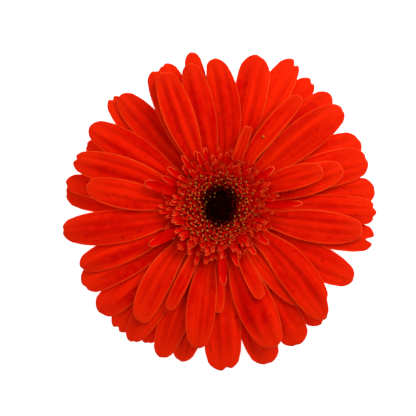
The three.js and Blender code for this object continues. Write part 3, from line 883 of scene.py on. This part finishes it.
def add_inner_lips(lips, azimuth, radius, height):
    """Two thin strips that curl up and back, one to each side."""
    outward, left, up = frame_at(azimuth)
    bend = np.linspace(0, 1, len(CURL_WIDTHS))[:, None]
    base = (radius + 0.15) * outward + (height - 1.6) * up
    for side in (-1, 1):
        size = RANDOM.uniform(0.4, 0.75)
        angle = (0.1 + RANDOM.uniform(1.0, 1.5) * bend) * np.pi
        curl = (1 - np.cos(angle)) * size * side * left
        curl = curl + np.sin(angle) * size * (up + RANDOM.uniform(-0.9, 0.5) * outward)
        widths = RANDOM.uniform(0.8, 1.5) * CURL_WIDTHS
        tone = RANDOM.uniform(0, 1)
        # edge and back set how much painted rim highlight and painted root shade the curl takes
        edge = RANDOM.uniform(0.25, 0.6)
        back = RANDOM.uniform(0.5, 2)
        lips.tube(base + curl, widths, tone=tone, edge=edge, back=back)


def add_disc_florets():
    """Lips and anthers, lower towards the disc's edge and towards the heart."""
    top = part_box("open_disc_florets")[1][2] / MM
    lips, anthers = Shells("tone", "edge", "back"), Shells()
    for azimuth, radius in spiral(DISC_FLORETS, DISC_INNER, DISC_OUTER):
        outward, _, _ = frame_at(azimuth)
        clear = np.hypot(*((radius * outward[:2] - DARK_CENTRE) / DARK_STRETCH))
        drop = 0.9 * smoothstep(10, DISC_OUTER, radius) + 0.7 * smoothstep(7.5, 5.5, radius)
        height = top - drop - RANDOM.uniform(0, 0.7)
        if clear > HEART_EDGE - LIP_OVERLAP:
            add_outer_lip(lips, azimuth, radius, height)
            add_inner_lips(lips, azimuth, radius, height)
            open_here = clear > HEART_EDGE and radius < ANTHER_LIMIT
            if open_here and RANDOM.uniform() > 0.3 * smoothstep(7, 11, radius):
                add_anther(anthers, azimuth, radius, height)
    for azimuth, radius in STRAY_FLORETS:
        add_anther(anthers, azimuth, radius, HEART_TOP)
    add_shed_anther(anthers)
    lips.build("disc_floret_lips", FLORET_SKIN, "disc_florets")
    anthers.build("disc_floret_anthers", ANTHER_SKIN, "disc_florets")


def add_heart():
    """The buds, on a bed that follows the CAD heart's dome."""
    dome = node_points("heart")
    base = dome[:, 2].min()
    dome = dome[dome[:, 2] > base + 0.1]
    reach = reach_of(dome)
    order = np.argsort(reach)
    far = np.linspace(0, reach.max(), 9)
    top = np.interp(far, reach[order], dome[order, 2])
    skin = [(radius, height - HEART_BED_DEPTH) for radius, height in zip(far[::-1], top[::-1])]
    shells = Shells()
    shells.turned([(0, base), (reach.max(), base), *skin])
    for azimuth, radius in spiral(HEART_BUDS, 0.0, HEART_EDGE):
        outward, _, up = frame_at(azimuth)
        place = radius * outward + [*(DARK_CENTRE * radius / HEART_EDGE), 0.0]
        height = np.interp(radius, far, top) - RANDOM.uniform(0, 0.5)
        bend = np.linspace(0, 1, len(BUD_WIDTHS))[:, None]
        path = place - BUD_LEAN * bend**2 * outward + (height - BUD_LENGTH * (1 - bend)) * up
        shells.tube(path, RANDOM.uniform(0.8, 1.1) * BUD_WIDTHS, sides=8)
    shells.build("heart_buds", HEART_SKIN, "heart", "heart")


add_floret_bed()
add_disc_florets()
add_heart()


# ---- Receptacle, cut stem, bracts and down --------------------------------------------------

CROWN_HEIGHT = 4.8  # of the receptacle's red top, where the florets and petals grow
WALL_STEPS = 40
CUT_STEPS = 7
CUT_DISH = 0.25  # how far the cut face's middle lies above its edge
RIBS = ((14, 0.012, 0), (5, 0.008, 1))  # number round the wall, share of the radius, phase
FEET = 76
FEET_ROWS = 2
FOOT_WIDTHS = np.array([0.16, 0.26, 0.3, 0.31, 0.33, 0.36, 0.3])
BRACT_ROWS = 20
BRACT_COLUMNS = 9
BRACT_THICKNESS = 0.3
BRACT_SHINGLE = 0.2  # how far one edge stands out and the other goes in
BRACT_HAIRS = 16  # on each bract
STEM_HAIRS = 220
STEM_HAIR_HEIGHTS = (0.7, 3.4)
HAIR_WIDTHS = (0.035, 0.028, 0.008)

# Each ring of bracts: how many, the height where they start, their distance from the wall, the
# bend of their free part and their half width.
BRACT_RINGS = {
    "inner_bracts": (26, 3.6, 0.28, 0.5, 1.9),
    "outer_bracts": (22, 3.4, 1.1, 0.3, 2.1),
}


def receptacle_profile():
    """Radius and height of the CAD receptacle's outside, from the cut up."""
    points = node_points("receptacle_and_cut_stem")
    radius = reach_of(points)
    heights = np.unique(points[:, 2].round(2))
    return [(radius[abs(points[:, 2] - z) < 0.02].max(), z) for z in heights]


OUTSIDE = receptacle_profile()
STEM_RADIUS = OUTSIDE[0][0]
OUTSIDE_HEIGHTS = np.array([z for _, z in OUTSIDE])
RECEPTACLE_TOP = OUTSIDE_HEIGHTS[-1]
outside_radius = curve_through(OUTSIDE_HEIGHTS, np.array([r for r, _ in OUTSIDE]))


def add_receptacle():
    """The CAD receptacle and cut stem with smooth curves, ribs and a dished cut face."""
    shares = np.linspace(0, 0.94, CUT_STEPS)
    face = [(STEM_RADIUS * share, CUT_DISH * (1 - share**2)) for share in shares]
    wall = [(outside_radius(z), z) for z in np.linspace(0.15, RECEPTACLE_TOP - 0.3, WALL_STEPS)]
    shoulder = (wall[-1][0] - 0.4, RECEPTACLE_TOP)
    shells = Shells("cut", "crown")
    shells.turned([*face, *wall, shoulder, (0, RECEPTACLE_TOP)], cut=0.0, crown=0.0)
    points = shells.points[0]
    height = points[:, 2]
    on_cut = (height < 0.3) & (reach_of(points) < STEM_RADIUS * 0.96)
    shells.values["cut"][0] = on_cut.astype(float)
    above = height - RECEPTACLE_TOP
    shells.values["crown"][0] = smoothstep(-CROWN_HEIGHT, -0.6 * CROWN_HEIGHT, above)
    turn = np.arctan2(points[:, 1], points[:, 0])
    ribs = sum(depth * np.cos(number * turn + phase) for number, depth, phase in RIBS)
    points[:, :2] *= (1 + ribs * (height > 0.1))[:, None]
    shells.build("receptacle_and_stem", STEM_SKIN, "stem", "receptacle_and_cut_stem")


def bract(shells, azimuth, path, half_width, tone):
    """A lance-shaped leaf along a path of (radius, height), with one edge over its neighbour.

    It gives back the grid of points on its outside and the outward normals along the path.
    """
    across = np.linspace(-1, 1, BRACT_COLUMNS)[None]
    along = np.linspace(0, 1, BRACT_ROWS)[:, None]
    direction = np.gradient(path, axis=0)
    direction /= np.linalg.norm(direction, axis=1, keepdims=True)
    normal = np.stack([direction[:, 1], -direction[:, 0]], axis=1)
    half = half_width * (1 - along**2.4) ** 0.8 * (0.8 + 0.2 * smoothstep(0, 0.3, along)) + 0.06
    midrib = 0.12 * np.exp(-((across / 0.22) ** 2))
    lift = BRACT_SHINGLE * across + midrib + 0.25 * half * across**2 * along
    spot = path[:, None, :] + normal[:, None, :] * lift[..., None]
    inner = spot - normal[:, None, :] * BRACT_THICKNESS
    turn = math.radians(azimuth) + across * half / path[:, :1]
    outside = polar(spot[..., 0], turn, spot[..., 1])
    inside = polar(inner[..., 0], turn, inner[..., 1])
    shells.sheet(inside, outside, grid_uv(across, along), tone=np.full_like(lift, tone))
    return outside, normal


def bract_path(name, first, offset, bend):
    """Along the receptacle from a height up to its rim and then out to the CAD ring's tips."""
    points = node_points(name)
    reach = reach_of(points)
    tip = np.array([reach.max(), points[reach > reach.max() - 0.3, 2].min()])
    rim = OUTSIDE_HEIGHTS[-3]
    lower = [(outside_radius(z) + offset, z - offset) for z in np.linspace(first, rim - 0.6, 14)]
    start = np.array(lower[-1])
    pull = start + [0.35 * (tip[0] - start[0]), 0.9 * (tip[1] - start[1]) + bend]
    t = np.linspace(0.1, 1, 10)[:, None]
    upper = (1 - t) ** 2 * start + 2 * t * (1 - t) * pull + t**2 * tip
    line = np.concatenate([lower, upper])
    step = np.concatenate([[0], np.cumsum(np.linalg.norm(np.diff(line, axis=0), axis=1))])
    even = np.linspace(0, step[-1], BRACT_ROWS)
    return np.stack([np.interp(even, step, line[:, 0]), np.interp(even, step, line[:, 1])], axis=1)


def add_hair(shells, point, direction):
    """A fine tapering hair, unless it would reach the surface that the bloom lies on."""
    aim = direction + RANDOM.normal(0, 0.35, 3)
    aim /= np.linalg.norm(aim)
    length = RANDOM.uniform(0.5, 1.2)
    droop = np.array([0, 0, -0.25]) * length
    path = [point + aim * length * t + droop * t * t for t in (0, 0.5, 1)]
    if path[-1][2] > 0.3:
        shells.tube(path, HAIR_WIDTHS, sides=3)


def add_bract_ring(name, hairs):
    count, first, offset, bend, half_width = BRACT_RINGS[name]
    shells = Shells("tone")
    path = bract_path(name, first, offset, bend)
    outwards = np.linspace(0, 1, BRACT_ROWS)[:, None] ** 3
    for i in range(count):
        azimuth = (i + RANDOM.uniform(-0.12, 0.12)) * 360 / count
        sway = path + outwards * RANDOM.normal(0, 0.22, 2)
        tone = RANDOM.uniform(0, 1)
        wide = half_width * RANDOM.uniform(0.9, 1.1)
        outside, normal = bract(shells, azimuth, sway, wide, tone)
        outward, _, up = frame_at(azimuth)
        for _ in range(BRACT_HAIRS):
            row = RANDOM.integers(2, BRACT_ROWS)
            column = RANDOM.choice([0, 2, 4, 6, BRACT_COLUMNS - 1])
            add_hair(hairs, outside[row, column], normal[row, 0] * outward + normal[row, 1] * up)
    shells.build(name.replace("bracts", "bract_row"), BRACT_SKIN, "bracts", name)


def add_bracts():
    hairs = Shells()
    for name in BRACT_RINGS:
        add_bract_ring(name, hairs)
    for _ in range(STEM_HAIRS):
        turn = RANDOM.uniform(0, 2 * np.pi)
        height = RANDOM.uniform(*STEM_HAIR_HEIGHTS)
        away = polar(1.0, turn, 0.0)
        add_hair(hairs, outside_radius(height) * away + [0, 0, height], away)
    hairs.build("down", DOWN_SKIN, "bracts")


def add_floret_feet():
    """The slim red tubes that the outermost florets stand on, round the receptacle's red top."""
    shells = Shells("tone", "edge", "back")
    steps = np.linspace(0, 1, len(FOOT_WIDTHS))[:, None]
    for row in range(FEET_ROWS):
        stand = outside_radius(RECEPTACLE_TOP - 0.6) + 0.1 + 0.25 * row
        for i in range(FEET):
            azimuth = (i + 0.5 * row + RANDOM.uniform(-0.3, 0.3)) * 360 / FEET
            outward, left, up = frame_at(azimuth)
            start = RECEPTACLE_TOP - CROWN_HEIGHT * RANDOM.uniform(0.75, 1.05)
            path = (stand + RANDOM.uniform(0.6, 1.3) * steps**2) * outward
            path = path + RANDOM.uniform(-0.5, 0.5) * steps * left
            path = path + (start + (RECEPTACLE_TOP + 0.4 - start) * steps) * up
            widths = RANDOM.uniform(0.9, 1.2) * FOOT_WIDTHS
            tone = RANDOM.uniform(0, 1)
            # edge 1 keeps the painted rim highlight off, and back sets the painted root shade
            shells.tube(path, widths, tone=tone, edge=1.0, back=RANDOM.uniform(1, 4))
    shells.build("floret_feet", FLORET_SKIN, "trans_florets")


add_receptacle()
add_bracts()
add_floret_feet()


# ---- Floor, light and closing ---------------------------------------------------------------

FLOOR_REACH = 3.0
FLOOR_GLOW = 0.72
WORLD_STRENGTH = 0.42

# Each lamp: its place, the width of its disc and its power. It points at the origin.
LAMPS = {
    "key": ((0.26, 0.26, 0.31), 0.34, 1.65),
    "fill": ((-0.3, 0.1, 0.7), 0.6, 1.2),
}


def add_floor():
    paint = Paint("floor", roughness=0.9, specular=0.1)
    cloud = paint.noise(paint.place(), 2.0)
    paint.shader.inputs["Emission Color"].default_value = WHITE
    paint.shader.inputs["Emission Strength"].default_value = FLOOR_GLOW
    mesh = bpy.data.meshes.new("floor")
    corners = [(-1, -1, 0), (1, -1, 0), (1, 1, 0), (-1, 1, 0)]
    mesh.from_pydata([FLOOR_REACH * np.array(corner) for corner in corners], [], [(0, 1, 2, 3)])
    mesh.materials.append(paint.finish(paint.mix(cloud, colour(252, 252, 252), WHITE)))
    floor = bpy.data.objects.new("floor", mesh)
    bpy.context.scene.collection.objects.link(floor)


def add_lamp(name, place, width, power):
    data = bpy.data.lights.new(name, "AREA")
    data.shape = "DISK"
    data.size = width
    data.energy = power
    lamp = bpy.data.objects.new(name, data)
    lamp.location = place
    aim = -np.array(place) / np.linalg.norm(place)
    lamp.rotation_euler = (math.acos(-aim[2]), 0, math.atan2(-aim[0], aim[1]))
    bpy.context.scene.collection.objects.link(lamp)


def add_world():
    world = bpy.data.worlds.new("studio")
    world.use_nodes = True
    background = world.node_tree.nodes["Background"]
    background.inputs["Color"].default_value = WHITE
    background.inputs["Strength"].default_value = WORLD_STRENGTH
    bpy.context.scene.world = world


add_floor()
for lamp_name, (place, width, power) in LAMPS.items():
    add_lamp(lamp_name, place, width, power)
add_world()
bpy.context.scene.view_settings.view_transform = "Standard"
